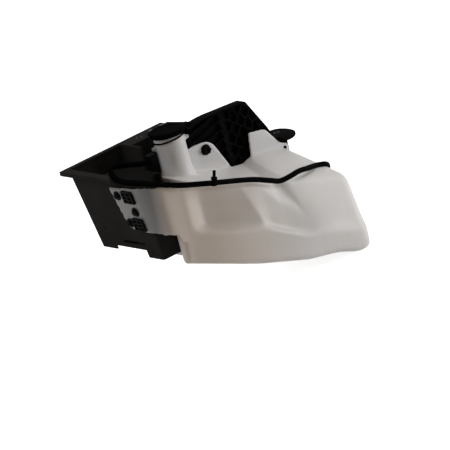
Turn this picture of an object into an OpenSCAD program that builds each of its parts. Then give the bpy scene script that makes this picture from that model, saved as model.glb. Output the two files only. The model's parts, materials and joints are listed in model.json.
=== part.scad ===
// Washer fluid reservoir: blown tank on a moulded carrier tub, with bracket, flip lid, pump and harness.
// The origin is the centre of the filler mouth, +Z is up along the neck, +X runs along the tub's back rim.

/* [Filler neck] */
// Outer radius of the neck
neck_r = 28; // [24:0.5:32]
// Wall of the neck
neck_wall = 2.5; // [2:0.5:4]
// Height of the bead at the mouth
bead_h = 3; // [2:0.5:4]
// How far the bead stands out from the neck
bead_out = 1; // [0.5:0.25:1.5]
// How far the neck lugs stand out
lug_out = 8; // [5:0.5:10]
// Width and height of a neck lug
lug_size = 7; // [5:0.5:9]

/* [Tank] */
// Wall of the blown tank
tank_wall = 3; // [2:0.25:4]
// Left end of the hollow body, measured from the neck axis
tank_left = 128; // [120:1:134]
// Right end of the hollow body, measured from the neck axis
tank_right = 262; // [254:1:266]
// Level of the tank's top below the mouth, at the neck
tank_top = 85; // [80:1:95]
// Fall of the tank's top to the right, mm for each mm
top_fall = 0.333; // [0.3:0.01:0.36]
// Front face of the tank in front of the neck axis
tank_front = 170; // [166:1:178]
// Back face of the tank behind the neck axis
tank_back = 14; // [10:1:16]
// Rounding of the tank's right end
end_round = 24; // [18:1:30]
// Depth of the hollow pressed into the front face
front_dish = 20; // [8:1:22]
// Height of the lobe at the tank's back right
lobe_rise = 20; // [10:1:26]
// Thickness of the side flange and its web
flange_t = 4; // [3:0.25:6]
// Thickness of the bolt tab
tab_t = 6; // [4:0.5:7]
// Thickness of the plate tab
plate_t = 4; // [3:0.25:6]

/* [Carrier tub] */
// Wall of the tub
tub_wall = 3; // [2:0.25:4]
// Left side of the tub at its rim
tub_left = 179; // [174:1:184]
// Right side of the tub at its rim
tub_right = 54; // [52:1:60]
// Back of the tub at its rim
tub_back = 75; // [70:1:80]
// Front of the tub at its rim
tub_front = 124; // [118:1:126]
// Level of the rim below the filler mouth
rim_drop = 10; // [8:0.5:14]
// Level of the tub's floor below the filler mouth
tub_floor = 160; // [150:1:166]
// How far the left wall leans in from rim to floor
left_draft = 22; // [16:1:26]
// Thickness of the rim and shelf
rim_t = 3; // [2.5:0.25:5]
// Width of the rim along the left side
rim_left = 13; // [10:1:18]
// Width of the rim along the back
rim_back = 8; // [6:1:14]
// Height of the lip turned down at the rim's edge
rim_lip = 8; // [5:0.5:12]

/* [Ribbed bracket] */
// Thickness of the standing panel
panel_t = 3; // [2:0.25:4]
// Height of the ribs on the panel
rib_h = 8; // [5:0.5:9]
// Thickness of a rib
rib_t = 2.4; // [1.6:0.1:3]
// Spacing of the cells in the rib net
cell_pitch = 16; // [15:0.5:24]
// Height of a cell against its width
cell_tall = 1.5; // [1:0.1:2]
// Depth of the lip around the panel's top
panel_lip = 10; // [6:0.5:14]
// Thickness of the ear and of the foot
ear_t = 4; // [3:0.25:6]

/* [Lid] */
// Gap between the lid's skirt and the neck bead
lid_gap = 1.3; // [1.2:0.1:2]
// Wall of the lid's skirt
lid_wall = 2.2; // [1.6:0.1:3]
// Depth of the skirt below the mouth
lid_skirt = 5; // [4:0.25:5.5]
// Thickness of the lid's top
lid_top = 2.5; // [2:0.25:4]
// Thickness of the seal under the lid
seal_t = 1.2; // [0.8:0.1:2]
// Section of the tether ring
ring_t = 2.5; // [2:0.1:3]
// Radius of the hinge pin
pin_r = 1.5; // [1.2:0.1:1.8]

/* [Fasteners] */
// Radius of the washer under a flange screw
screw_washer_r = 9; // [7:0.5:10]
// Radius of a flange screw's shank
screw_r = 2.5; // [2:0.1:3]
// Radius of the tab bolt's shank
bolt_r = 4; // [3:0.25:4.5]
// Radius of the washer under the tab bolt
bolt_washer_r = 10; // [8:0.5:12]
// Width of a grid clip
clip_w = 30; // [24:1:32]
// Height of a grid clip
clip_h = 24; // [20:1:26]
// Radius of the mounting bores in the steel sleeves
sleeve_bore_r = 4.2; // [3.2:0.1:5]

/* [Pump] */
// Radius of the pump's motor
motor_r = 14.5; // [12:0.5:15]
// Radius of the inlet spigot
inlet_r = 6; // [5:0.25:7]
// Radius of the outlet nipple
nipple_r = 3; // [2.5:0.1:4]
// Length of the outlet nipple
nipple_len = 20; // [14:1:26]

/* [Harness] */
// Outer radius of the conduit
conduit_r = 4.75; // [4:0.25:5]

/* [Hidden] */
$fn = 64;
eps = 0.01;
// clearance between fixed pieces that fit in one another
fit = 0.15;
// clearance between pieces that move on one another
run = 0.3;
// overlap that lets a cut or a joined shape run past a face
over = 1;

white = [0.83, 0.82, 0.8];
black = [0.06, 0.06, 0.065];
rubber = [0.03, 0.03, 0.03];
steel = [0.6, 0.6, 0.62];

// points of a polygon with softened corners, each corner a short curve that starts d before it
function unit(v) = v / norm(v);
function soft_corner(a, c, b, d, n) =
    let (p = c + min(d, 0.45 * norm(a - c)) * unit(a - c), q = c + min(d, 0.45 * norm(b - c)) * unit(b - c))
    [for (i = [0 : n]) let (t = i / n) (1 - t) * (1 - t) * p + 2 * t * (1 - t) * c + t * t * q];
function soft_poly(pts, d, n = 4) =
    let (m = len(pts))
    [for (i = [0 : m - 1])
        each soft_corner(pts[(i + m - 1) % m], pts[i], pts[(i + 1) % m], is_list(d) ? d[i] : d, n)];

// points of a clockwise polygon moved inwards by d
function edge_in(a, b) = let (u = unit(b - a)) [u[1], -u[0]];
function inset_poly(pts, d) =
    let (m = len(pts))
    [for (i = [0 : m - 1])
        let (n1 = edge_in(pts[(i + m - 1) % m], pts[i]), n2 = edge_in(pts[i], pts[(i + 1) % m]))
        pts[i] + d * (n1 + n2) / (1 + n1 * n2)];

// closed skin through rings of equal length, the rings clockwise when seen from the last one
module loft(rings) {
    n = len(rings[0]);
    last = len(rings) - 1;
    polyhedron(
        points = [for (r = rings) each r],
        faces = concat(
            [[for (j = [n - 1 : -1 : 0]) j]],
            [for (i = [0 : last - 1], j = [0 : n - 1])
                [i * n + j, i * n + (j + 1) % n, (i + 1) * n + (j + 1) % n]],
            [for (i = [0 : last - 1], j = [0 : n - 1])
                [i * n + j, (i + 1) * n + (j + 1) % n, (i + 1) * n + j]],
            [[for (j = [0 : n - 1]) last * n + j]]),
        convexity = 6);
}

// plate in the XZ plane from y0 back to y1
module upright(y0, y1) {
    translate([0, y1, 0])
        rotate([90, 0, 0])
            linear_extrude(y1 - y0)
                children();
}

// round bar along +Y from y0 to y1
module bar_y(r, x, z, y0, y1) {
    translate([x, y0, z])
        rotate([-90, 0, 0])
            cylinder(r = r, h = y1 - y0);
}

// tank sections: each is a softened outline in Y and Z at one X, drawn in by e
arm_back = tub_front + 5;
arm_end = tub_right - 4;
arm_root = arm_end - 6;
left_round = 8;
function top_at(x) = -tank_top - top_fall * x;
function floor_at(x) = lookup(x,
    [[-150, -182], [14, -249], [122, -285], [187, -297], [226, -312], [262, -312]]);
function front_at(x) = -tank_front
    + lookup(x, [[-150, 20], [-100, 12], [-40, 4], [40, 0], [140, -2], [262, -6]]);
function back_at(x, e) = x < -(arm_end + arm_root) / 2 + e ? -arm_back
    : lookup(x, [[neck_r + 10, neck_r + 8], [neck_r + 26, tank_back]]);
function lean_at(x) = lookup(x, [[-150, 2], [-100, 5], [0, 9], [100, 14], [180, 22], [262, 30]]);
function dish_at(x) = front_dish * lookup(x,
    [[-140, 0], [-118, 0.1], [-82, 1], [-30, 0.8], [30, 0.3], [50, 0.1], [66, 0.15], [96, 0.6], [140, 0.2],
        [200, 0]]);
function lobe_at(x) = lobe_rise * lookup(x, [[90, 0], [119, 0.37], [169, 1.17], [262, 1.4]]);
function valley_at(x) = lookup(x, [[60, 0], [86, 12], [108, 14], [132, 2], [190, 0]]);
function tank_corners(x, e) =
    let (yf = front_at(x) + e, zt = top_at(x) - e, zb = floor_at(x) + e, h = zt - zb, ln = lean_at(x))
    [[yf + 5, zb], [yf, zb + 0.37 * h], [yf + dish_at(x) + 0.3 * ln, zb + 0.55 * h],
     [yf + ln, zt - valley_at(x)], [back_at(x, e) - e, zt + lobe_at(x)], [back_at(x, e) - e, zb]];
// how far before each corner of a section its rounding starts
corner_soft = [16, 14, 22, 14, 10, 14];
function tank_ring(x, e) = [for (p = soft_poly(tank_corners(x, e), corner_soft)) [x, p[0], p[1]]];
// stations from left to right: a rounded left end, the body, a rounded right end
function body_x(e) = concat(
    [for (x = [-tank_left + 20 : 18 : -arm_end - 3]) x],
    [-arm_end + e, -arm_root + e],
    [for (x = [-arm_root + 10 : 14 : tank_right - end_round - 10]) x]);
function left_station(e, a) = [-tank_left + e + left_round * (1 - sin(a)), left_round * (1 - cos(a))];
function right_station(e, a) = [tank_right - e - end_round * (1 - sin(a)), end_round * (1 - cos(a))];
function stations(e) = concat(
    [for (a = [90 : -30 : 0]) left_station(e, a)],
    [for (x = body_x(e)) [x, 0]],
    [for (a = [0 : 15 : 90]) right_station(e, a)]);
function tank_rings(e) = [for (s = stations(e)) tank_ring(s[0], e + s[1])];

// tub outline at level z, drawn in by e
right_draft = 16;
back_draft = 10;
front_draft = 7;
tub_round = 5;
function lean_in(z) = (-z - rim_drop) / (tub_floor - rim_drop);
function tub_ring(z, e) =
    let (k = lean_in(z), x0 = -tub_left + left_draft * k + e, x1 = -tub_right - right_draft * k - e,
        y0 = -tub_front + front_draft * k + e, y1 = tub_back - back_draft * k - e)
    [for (p = soft_poly([[x0, y0], [x0, y1], [x1, y1], [x1, y0]], tub_round)) [p[0], p[1], z]];

// frame on the tub's left wall: x runs along +Y, y down the wall from the rim, z out of the wall
wall_lean = atan(left_draft / (tub_floor - rim_drop));
module on_wall() {
    multmatrix([[0, sin(wall_lean), -cos(wall_lean), -tub_left],
        [1, 0, 0, 0],
        [0, -cos(wall_lean), -sin(wall_lean), -rim_drop],
        [0, 0, 0, 1]])
        children();
}

// places on the tub's left wall, along the wall and down it
screw_spots = [[-60, 36], [-96, 66], [-66, 92]];
clip_spots = [[-94, 35], [-94, 92]];
web_front = front_at(-tank_left);
// the flange leaves the tub's wall past its front corner and slants to the tank's front
corner_y = -tub_front - 1;
corner_x = -tank_left - 22;
flange_high = 17;
flange_low = 110;
flange_outline = [[-40, flange_high + 4], [corner_y - 1, flange_high], [corner_y - 1, flange_low],
    [-53, flange_low + 3]];
prong_w = 4;
prong_h = 10;
prong_x = 8;

// places of the tab bolt and the plate rivet, in X and Z
bolt_at = [76, -68];
rivet_at = [246, -133];
rivet_r = 2.4;
tab_front = tank_back - tab_t;
plate_back = tank_back - 2;
plate_front = plate_back - plate_t;

// neck
neck_in = neck_r - neck_wall;
neck_root = tank_top + 24;
flare_r = neck_r + 7;
flare_top = tank_top - 9;
// turn of the lid's hinge about the neck
hinge_turn = -34;

// pump at the tank's back
pump_x = tank_right - end_round - 38;
pump_z = floor_at(pump_x) + 38;
grommet_r = 10;
grommet_lip = 3;
pump_y = tank_back + grommet_lip + motor_r + 4.5;
// flat boss that the outlet nipple stands on
nipple_boss = 2.5;
// pump plug, and the level where the conduit enters it
plug_half = 13;
plug_z = pump_z + 87;

// sleeves
sleeve_t = 1.6;
sleeve_r = sleeve_bore_r + sleeve_t;
shelf_hole = [-20, 62];
ear_hole = [264, 48];
ear_z = -118;

// shelf at the tub's right back, and the bracket's foot under it
shelf_right = 46;
shelf_front = 42;
foot_screws = [[6, 60], [32, 60]];
shelf_screw_r = 2;

// standing panel
panel_front = tank_back + 4;
panel_y0 = panel_front + rib_h;
panel_y1 = panel_y0 + panel_t;
panel_outline = soft_poly([[54, -108], [54, -22], [70, -17], [100, -15], [193, -21], [228, -88], [236, -112],
    [262, -115], [262, -150], [200, -160]], [6, 16, 12, 12, 4, 10, 8, 6, 8, 10]);

// lid, seal and hinge, seen along the hinge's own direction
lid_in = neck_r + bead_out + lid_gap;
lid_r = lid_in + lid_wall;
lid_under = run + seal_t;
lid_up = lid_under + lid_top;
hinge_x = lid_r + 3.5;
hinge_z = -lid_skirt - 3;
barrel_r = pin_r + run + 1.2;
barrel_w = 10;
ear_gap = 0.4;
hinge_ear_t = 3;
ring_in = neck_r + 0.7;
ring_w = 2;
ring_tilt = 6.5;
ring_z = hinge_z - ring_in * sin(ring_tilt) - 0.3;

// conduit route, from the plug in the tub, round its front left corner, to the plug on the pump
route = [[-72, -27.4, -24.5], [-86, -27.4, -24.5], [-112, -27.4, -16.5], [-146, -28, -6], [-162, -35, -7],
    [-168, -54, -19], [-168, -84, -22.5], [-163, -120, -22],
    [-150, -tank_front + 19, -27], [-128, -tank_front + 10, -36],
    [-108, -tank_front + 6, -44], [-66, -tank_front + 3, -58],
    [-44, -tank_front + 1, -65], [0, -tank_front, -79], [40, -tank_front, -93], [74, -tank_front + 2, -109],
    [98, -tank_front + 6, -120], [122, -tank_front + 6, -121], [148, -tank_front + 12, -122],
    [186, -tank_front + 36, -134], [220, -tank_front + 62, -146], [tank_right - 18, -tank_front + 66, -153],
    [tank_right + 3, -tank_front + 88, -167], [tank_right + 12, -58, -183],
    [tank_right + 11, tank_back - 24, -188],
    [tank_right - 2, tank_back + 14, -185], [pump_x + plug_half + 19, pump_y, plug_z],
    [pump_x + plug_half, pump_y, plug_z]];
tie_at = route[12];
conduit_sides = 10;
span_rings = 3;
function along(a, b, c, d, t) =
    0.5 * (2 * b + (c - a) * t + (2 * a - 5 * b + 4 * c - d) * t * t + (3 * b - a - 3 * c + d) * t * t * t);
function route_at(i) = route[max(0, min(len(route) - 1, i))];
conduit_path = concat(
    [for (i = [0 : len(route) - 2], k = [0 : span_rings - 1])
        along(route_at(i - 1), route_at(i), route_at(i + 1), route_at(i + 2), k / span_rings)],
    [route[len(route) - 1]]);
function conduit_ring(i) =
    let (m = len(conduit_path) - 1, p = conduit_path[i],
        t = unit(conduit_path[min(m, i + 1)] - conduit_path[max(0, i - 1)]),
        side = unit(cross(t, [0, 0, 1])), up = cross(side, t))
    [for (j = [0 : conduit_sides - 1])
        let (a = 360 * j / conduit_sides) p + conduit_r * (cos(a) * side + sin(a) * up)];

// flange on the tub's left wall, the slanted plate at the corner and the web on the tank's front
function wall_x(z) = -tub_left + left_draft * lean_in(z);
function corner_ring(z_wall, z_web) =
    let (far = [wall_x(z_wall) - fit - flange_t, corner_y], near = [corner_x, web_front],
        in = flange_t * unit([far[1] - near[1], near[0] - far[0]]))
    [[far[0], far[1], z_wall], [far[0] + in[0], far[1] + in[1], z_wall],
     [near[0] + in[0], near[1] + in[1], z_web], [near[0], near[1], z_web]];
web_high = -40;
web_low = -126;
module side_flange() {
    on_wall()
        translate([0, 0, fit])
            linear_extrude(flange_t)
                polygon(soft_poly(flange_outline, [8, 1, 1, 8]));
    loft([corner_ring(-rim_drop - flange_low, web_low), corner_ring(-rim_drop - flange_high, web_high)]);
    upright(web_front, web_front + flange_t)
        polygon([[corner_x, web_high], [-tank_left + 14, top_at(-tank_left + 14) - 8],
            [-tank_left + 14, -152], [-tank_left - 1, -148], [-tank_left - 8, -131], [corner_x, web_low]]);
}

module bolt_tab() {
    upright(tab_front, tank_back)
        polygon(soft_poly([[14, -120], [14, -58], [52, -52], [80, -54], [95, -62], [121, -118], [121, -140]],
            [4, 4, 8, 10, 12, 8, 4]));
}

module plate_tab() {
    upright(plate_front, plate_back)
        polygon(soft_poly([[164, -160], [169, -119], [176, -76], [214, -83], [239, -121], [256, -127],
            [256, -142], [240, -148], [232, -170]], [2, 6, 5, 8, 8, 6, 6, 6, 4]));
}

module neck_lug(turn, z) {
    rotate([0, 0, turn])
        translate([neck_r - over, -lug_size / 2, z - lug_size / 2])
            cube([lug_out + over, lug_size, lug_size]);
}

module wall_holes(r) {
    on_wall()
        for (s = screw_spots)
            translate([s[0], s[1], -20])
                cylinder(r = r, h = 40);
}

module wall_slots() {
    on_wall()
        for (c = clip_spots, k = [-1, 1])
            translate([c[0] + k * prong_x - prong_w / 2 - fit, c[1] - prong_h / 2 - fit, -20])
                cube([prong_w + 2 * fit, prong_h + 2 * fit, 40]);
}

// the whole blown tank; it is cut behind the tub's front wall into a body and an arm
arm_cut = -arm_end - 4;
module blown_tank() {
    difference() {
        union() {
            loft(tank_rings(0));
            translate([0, 0, -neck_root])
                cylinder(r = neck_r, h = neck_root);
            translate([0, 0, -neck_root])
                cylinder(r1 = flare_r, r2 = neck_r, h = neck_root - flare_top);
            translate([0, 0, -bead_h])
                cylinder(r = neck_r + bead_out, h = bead_h);
            neck_lug(hinge_turn + 180, -27);
            neck_lug(hinge_turn, -19.5);
            bolt_tab();
            plate_tab();
            side_flange();
        }
        loft(tank_rings(tank_wall));
        translate([0, 0, -neck_root - over])
            cylinder(r = neck_in, h = neck_root + 2 * over);
        wall_holes(screw_r + 0.5);
        wall_slots();
        bar_y(bolt_r + 0.5, bolt_at[0], bolt_at[1], tab_front - over, tank_back + over);
        bar_y(rivet_r + fit, rivet_at[0], rivet_at[1], plate_front - over, plate_back + over);
        bar_y(grommet_r, pump_x, pump_z, tank_back - tank_wall - over, tank_back + over);
    }
}

// everything on one side of the cut: side 1 is the body, side 0 the arm
module cut_side(side) {
    reach = 400;
    intersection() {
        blown_tank();
        translate([side == 1 ? arm_cut : arm_cut - reach, -reach, -reach])
            cube([reach, 2 * reach, 2 * reach]);
    }
}

module tank() {
    color(white)
        cut_side(1);
}

module tank_arm() {
    color(white)
        cut_side(0);
}

module tub_skirt(depth, y0, y1) {
    intersection() {
        difference() {
            loft([tub_ring(-tub_floor - depth, 0), tub_ring(-tub_floor + over, 0)]);
            loft([tub_ring(-tub_floor - depth - over, tub_wall), tub_ring(-tub_floor, tub_wall)]);
        }
        translate([-tub_left, y0, -tub_floor - depth])
            cube([tub_left, y1 - y0, depth + over]);
    }
}

// front end of the rim along the left side, at its outer edge and at the wall
rim_end = -70;
rim_end_wall = -50;
lip_t = 2;
module rim() {
    translate([0, 0, -rim_drop - rim_t])
        linear_extrude(rim_t)
            polygon([[-tub_left - rim_left, rim_end], [-tub_left - rim_left, tub_back + rim_back],
                [shelf_right, tub_back + rim_back], [shelf_right, shelf_front], [-tub_right, shelf_front],
                [-tub_right, -tub_front], [-tub_left + 8, -tub_front], [-tub_left - over, rim_end_wall]]);
    translate([-tub_left - rim_left, rim_end, -rim_drop - rim_lip])
        cube([lip_t, tub_back + rim_back - rim_end, rim_lip]);
    translate([-tub_left - rim_left, tub_back + rim_back - lip_t, -rim_drop - rim_lip])
        cube([tub_left + rim_left + shelf_right, lip_t, rim_lip]);
}

// the walls are cut down at the front left, where the conduit runs over them
module conduit_scoop() {
    upright(-tub_front - 2, -100)
        polygon(soft_poly([[-174, 4], [-158, -29], [-112, -55], [-60, -76], [0, -80], [0, 4]], 8));
    translate([-tub_left - over, 0, 0])
        rotate([90, 0, 90])
            linear_extrude(30)
                polygon(soft_poly([[rim_end_wall + 4, 4], [rim_end_wall, -18], [rim_end_wall - 14, -28],
                    [-tub_front - 2, -31], [-tub_front - 2, 4]], [1, 5, 8, 1, 1]));
}

// lower edge of the web that runs on behind the neck, under the shelf
back_web_low = 104;
// the partition's top falls to the right, and the conduit lies along it
partition_y = -27;
partition_left = -12;
partition_right = -29.6;
module tub_partition() {
    intersection() {
        loft([tub_ring(-tub_floor + over, over), tub_ring(-rim_drop - rim_t, over)]);
        upright(partition_y, partition_y + tub_wall)
            polygon([[-tub_left, -tub_floor], [-tub_left, partition_left], [-150, partition_left],
                [-88, partition_right], [-tub_right, partition_right], [-tub_right, -tub_floor]]);
    }
}

module carrier_tub() {
    color(black)
        difference() {
            union() {
                difference() {
                    union() {
                        loft([tub_ring(-tub_floor, 0), tub_ring(-rim_drop, 0)]);
                        rim();
                    }
                    loft([tub_ring(-tub_floor + tub_wall, tub_wall), tub_ring(over, tub_wall)]);
                }
                tub_partition();
                tub_skirt(8, 19, tub_back);
                tub_skirt(15, -tub_front, -72);
                translate([-tub_right - tub_wall, shelf_front, -back_web_low])
                    cube([tub_right + tub_wall + shelf_right - 4, tub_wall, back_web_low - rim_drop - eps]);
            }
            conduit_scoop();
            upright(-112, 12)
                polygon(soft_poly([[-88, 4], [-80, -50], [0, -66], [0, 4]], 10));
            on_wall()
                translate([-77, 136, -20])
                    cube([65, 7, 40]);
            on_wall()
                for (h = [[30, 116], [35, 121]])
                    translate([h[0], h[1], -20])
                        cylinder(r = 1.5, h = 40);
            wall_holes(screw_r + fit);
            wall_slots();
            for (h = foot_screws)
                translate([h[0], h[1], -rim_drop - rim_t - over])
                    cylinder(r = shelf_screw_r + 0.5, h = rim_t + 2 * over);
            translate([shelf_hole[0], shelf_hole[1], -rim_drop - rim_t - over])
                cylinder(r = sleeve_r + fit, h = rim_t + 2 * over);
        }
}

// each corner of the rib net is moved by a wave, so that no two cells are alike
net_left = 146;
net_low = -194;
function net_shift(p) = [2.4 * sin(9 * p[0] + 17 * p[1]), 3 * sin(19 * p[0] - 7 * p[1])];
function net_corner(r, a) = [r * cos(a), r * cell_tall * sin(a)];
module net_cell(c) {
    r = cell_pitch / sqrt(3);
    open_r = (cell_pitch - rib_t) / sqrt(3);
    polygon([for (a = [0 : 60 : 300]) c + net_corner(open_r, a) + net_shift(c + net_corner(r, a))]);
}
slat_pitch = 17;
slat_lean = 14;
module cells() {
    for (i = [0 : 9], j = [0 : 8])
        net_cell([net_left + i * cell_pitch * sqrt(3) / 2,
            net_low + (j + (i % 2) / 2) * cell_pitch * cell_tall]);
    for (j = [0 : 6])
        translate([56, -136 + j * slat_pitch])
            rotate(slat_lean)
                square([76, slat_pitch - rib_t]);
}

module rib_bracket() {
    color(black)
        difference() {
            union() {
                upright(panel_y0, panel_y1)
                    polygon(panel_outline);
                upright(panel_front, panel_y0 + eps)
                    difference() {
                        polygon(panel_outline);
                        intersection() {
                            polygon(inset_poly(panel_outline, rib_t));
                            cells();
                        }
                    }
                upright(panel_y1 - eps, panel_y1 + panel_lip)
                    intersection() {
                        difference() {
                            polygon(panel_outline);
                            polygon(inset_poly(panel_outline, panel_t));
                        }
                        translate([50, -100])
                            square([190, 100]);
                    }
                translate([0, 0, -rim_drop - rim_t - ear_t])
                    linear_extrude(ear_t)
                        polygon([[54, panel_y0], [72, panel_y0], [62, 60], [58, 78], [-6, 78], [-6, 46],
                            [44, 46], [54, 38]]);
                translate([56, panel_y0, -44])
                    cube([14, panel_t + panel_lip, 44 - rim_drop - rim_t]);
                translate([0, 0, ear_z])
                    linear_extrude(ear_t)
                        polygon(soft_poly([[243, -5], [243, panel_y0], [232, panel_y0], [232, 70], [276, 70],
                            [285, 40], [281, 10], [262, -6]], [2, 4, 2, 10, 16, 12, 12, 10]));
                for (x = [238, 250])
                    translate([x, 0, 0])
                        rotate([90, 0, 90])
                            linear_extrude(panel_t)
                                polygon([[panel_y1 - over, ear_z + over], [ear_hole[1] + 14, ear_z + over],
                                    [panel_y1 - over, -146]]);
                bar_y(bolt_r + 5, bolt_at[0], bolt_at[1], tank_back, panel_y1);
                bar_y(rivet_r + 4, rivet_at[0], rivet_at[1], plate_back, panel_y1);
            }
            bar_y(bolt_r + fit, bolt_at[0], bolt_at[1], tank_back - over, panel_y1 + over);
            bar_y(rivet_r + fit, rivet_at[0], rivet_at[1], plate_back - over, panel_y1 + over);
            for (h = foot_screws)
                translate([h[0], h[1], -rim_drop - rim_t - ear_t - over])
                    cylinder(r = shelf_screw_r + fit, h = ear_t + 2 * over);
            translate([ear_hole[0], ear_hole[1], ear_z - 40])
                cylinder(r = sleeve_r + fit, h = 80);
        }
}

module tether_ring() {
    color(black)
        rotate([0, 0, hinge_turn])
            union() {
                translate([0, 0, ring_z])
                    rotate([0, -ring_tilt, 0])
                        rotate_extrude()
                            translate([ring_in, -ring_t / 2])
                                square([ring_w, ring_t]);
                for (k = [-1, 1])
                    translate([0, k * (barrel_w / 2 + ear_gap + hinge_ear_t / 2), 0])
                        upright(-hinge_ear_t / 2, hinge_ear_t / 2)
                            polygon([[ring_in + 0.6, hinge_z - 1], [ring_in + 0.6, hinge_z + 1],
                                [hinge_x - 2, hinge_z + 1.8], [hinge_x, hinge_z + 2.6],
                                [hinge_x + 2.6, hinge_z + 1], [hinge_x + 2.6, hinge_z - 1],
                                [hinge_x, hinge_z - 2.6], [hinge_x - 3, hinge_z - 2]]);
                bar_y(pin_r, hinge_x, hinge_z, -barrel_w / 2 - ear_gap - 1, barrel_w / 2 + ear_gap + 1);
            }
}

module filler_lid() {
    color(black)
        rotate([0, 0, hinge_turn])
            difference() {
                union() {
                    rotate_extrude()
                        polygon([[0, lid_under], [lid_in, lid_under], [lid_in, -lid_skirt],
                            [lid_r, -lid_skirt], [lid_r, lid_up - 1.4], [lid_r - 1.4, lid_up],
                            [lid_r - 6, lid_up], [lid_r - 7, lid_up - 0.8], [0, lid_up - 0.8]]);
                    upright(-barrel_w / 2, barrel_w / 2)
                        polygon([[lid_in + 0.8, -lid_skirt], [lid_in + 0.8, -1], [lid_r + 1, -1],
                            [hinge_x + 1.6, hinge_z + barrel_r - 0.6],
                            [hinge_x - barrel_r + 0.4, hinge_z + 1]]);
                    bar_y(barrel_r, hinge_x, hinge_z, -barrel_w / 2, barrel_w / 2);
                    translate([-lid_r - 3, -7, lid_under])
                        cube([5, 14, 1.6]);
                }
                bar_y(pin_r + run, hinge_x, hinge_z, -barrel_w, barrel_w);
            }
}

module lid_seal() {
    color(rubber)
        translate([0, 0, run])
            difference() {
                cylinder(r = lid_in - fit, h = seal_t);
                translate([0, 0, -over])
                    cylinder(r = neck_in - 3, h = seal_t + 2 * over);
            }
}

// washer-head fixing along -Y: washer on the face at y, head in front, shank behind
module head_fixing(r, washer_r, head_r, len, y, at) {
    head_h = 8;
    difference() {
        union() {
            bar_y(washer_r, at[0], at[1], y - 2, y);
            translate([at[0], y, at[1]])
                rotate([90, 0, 0])
                    cylinder(r = head_r, h = head_h, $fn = 6);
            bar_y(r, at[0], at[1], y - over, y + len);
        }
        bar_y(head_r * 0.45, at[0], at[1], y - head_h - over, y - head_h / 2);
    }
}

module tab_bolt() {
    color(black)
        head_fixing(bolt_r, bolt_washer_r, 0.8 * bolt_washer_r, panel_y1 - tab_front + 5, tab_front,
            bolt_at);
}

module flange_screw(spot) {
    color(black)
        on_wall()
            translate([spot[0], spot[1], fit + flange_t])
                difference() {
                    union() {
                        cylinder(r = screw_washer_r, h = 2);
                        cylinder(r = screw_washer_r * 0.6, h = 5.5);
                        translate([0, 0, -flange_t - tub_wall - 9])
                            cylinder(r = screw_r, h = flange_t + tub_wall + 10);
                    }
                    for (a = [0, 90])
                        rotate(a)
                            translate([-screw_washer_r * 0.4, -0.8, 3])
                                cube([screw_washer_r * 0.8, 1.6, 5]);
                }
}

module grid_clip(spot) {
    bar_x = 3;
    bar_z = 2.4;
    cell_x = (clip_w - 3 * bar_x) / 2;
    cell_y = (clip_h - 4 * bar_z) / 3;
    color(black)
        on_wall()
            translate([spot[0], spot[1], fit + flange_t])
                union() {
                    difference() {
                        translate([-clip_w / 2, -clip_h / 2, 0])
                            cube([clip_w, clip_h, 5]);
                        for (i = [0, 1], j = [0 : 2])
                            translate([-clip_w / 2 + bar_x + i * (cell_x + bar_x),
                                -clip_h / 2 + bar_z + j * (cell_y + bar_z), 1.5])
                                cube([cell_x, cell_y, 5]);
                    }
                    for (k = [-1, 1])
                        translate([k * prong_x - prong_w / 2, -prong_h / 2, -flange_t - tub_wall - 6])
                            cube([prong_w, prong_h, flange_t + tub_wall + 7]);
                }
}

module plate_rivet() {
    color(black)
        union() {
            bar_y(rivet_r + 1, rivet_at[0], rivet_at[1], plate_front - 1.5, plate_front);
            bar_y(rivet_r, rivet_at[0], rivet_at[1], plate_front - over, panel_y1 + 2);
        }
}

module harness_conduit() {
    color(black)
        loft([for (i = [0 : len(conduit_path) - 1]) conduit_ring(i)]);
}

module cable_tie() {
    strap_w = 7;
    strap_t = 1.4;
    color(rubber)
        translate(tie_at)
            rotate([0, atan(top_fall), 0])
                union() {
                    rotate([0, 90, 0])
                        difference() {
                            cylinder(r = conduit_r + fit + strap_t, h = strap_w, center = true);
                            cylinder(r = conduit_r + fit, h = strap_w + over, center = true);
                        }
                    translate([-strap_w / 2 - 1, -3.5, conduit_r + fit + strap_t / 2])
                        cube([strap_w + 2, 7, 5.5]);
                    translate([-strap_w / 2 + 0.4, -strap_t / 2, conduit_r + 3])
                        cube([strap_w - 0.8, strap_t, 15]);
                }
}

module washer_pump() {
    color(black)
        difference() {
            union() {
                translate([pump_x, pump_y, pump_z - 14])
                    cylinder(r = motor_r + 2, h = 26);
                translate([pump_x, pump_y, pump_z + 12 - eps])
                    cylinder(r = motor_r, h = 54);
                translate([pump_x - 9, pump_y - 6, pump_z + 66 - eps])
                    cube([18, 12, 14]);
                bar_y(inlet_r, pump_x, pump_z, tank_back - tank_wall - 16, pump_y);
                translate([pump_x, pump_y, pump_z - 6])
                    rotate([0, -90, 0]) {
                        cylinder(r = nipple_r + 4, h = motor_r + 2 + nipple_boss);
                        cylinder(r = nipple_r, h = motor_r + 2 + nipple_boss + nipple_len);
                    }
            }
            bar_y(inlet_r - 2, pump_x, pump_z, tank_back - tank_wall - 16 - over, pump_y);
            translate([pump_x, pump_y, pump_z - 6])
                rotate([0, -90, 0])
                    cylinder(r = nipple_r - 1.2, h = motor_r + 2 + nipple_boss + nipple_len + over);
        }
}

module pump_grommet() {
    color(rubber)
        difference() {
            union() {
                bar_y(grommet_r + 4, pump_x, pump_z, tank_back, tank_back + grommet_lip);
                bar_y(grommet_r - fit, pump_x, pump_z, tank_back - tank_wall - 3, tank_back + over);
                bar_y(grommet_r + 1.5, pump_x, pump_z, tank_back - tank_wall - 3, tank_back - tank_wall);
            }
            bar_y(inlet_r + fit, pump_x, pump_z, tank_back - tank_wall - 3 - over,
                tank_back + grommet_lip + over);
        }
}

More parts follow.
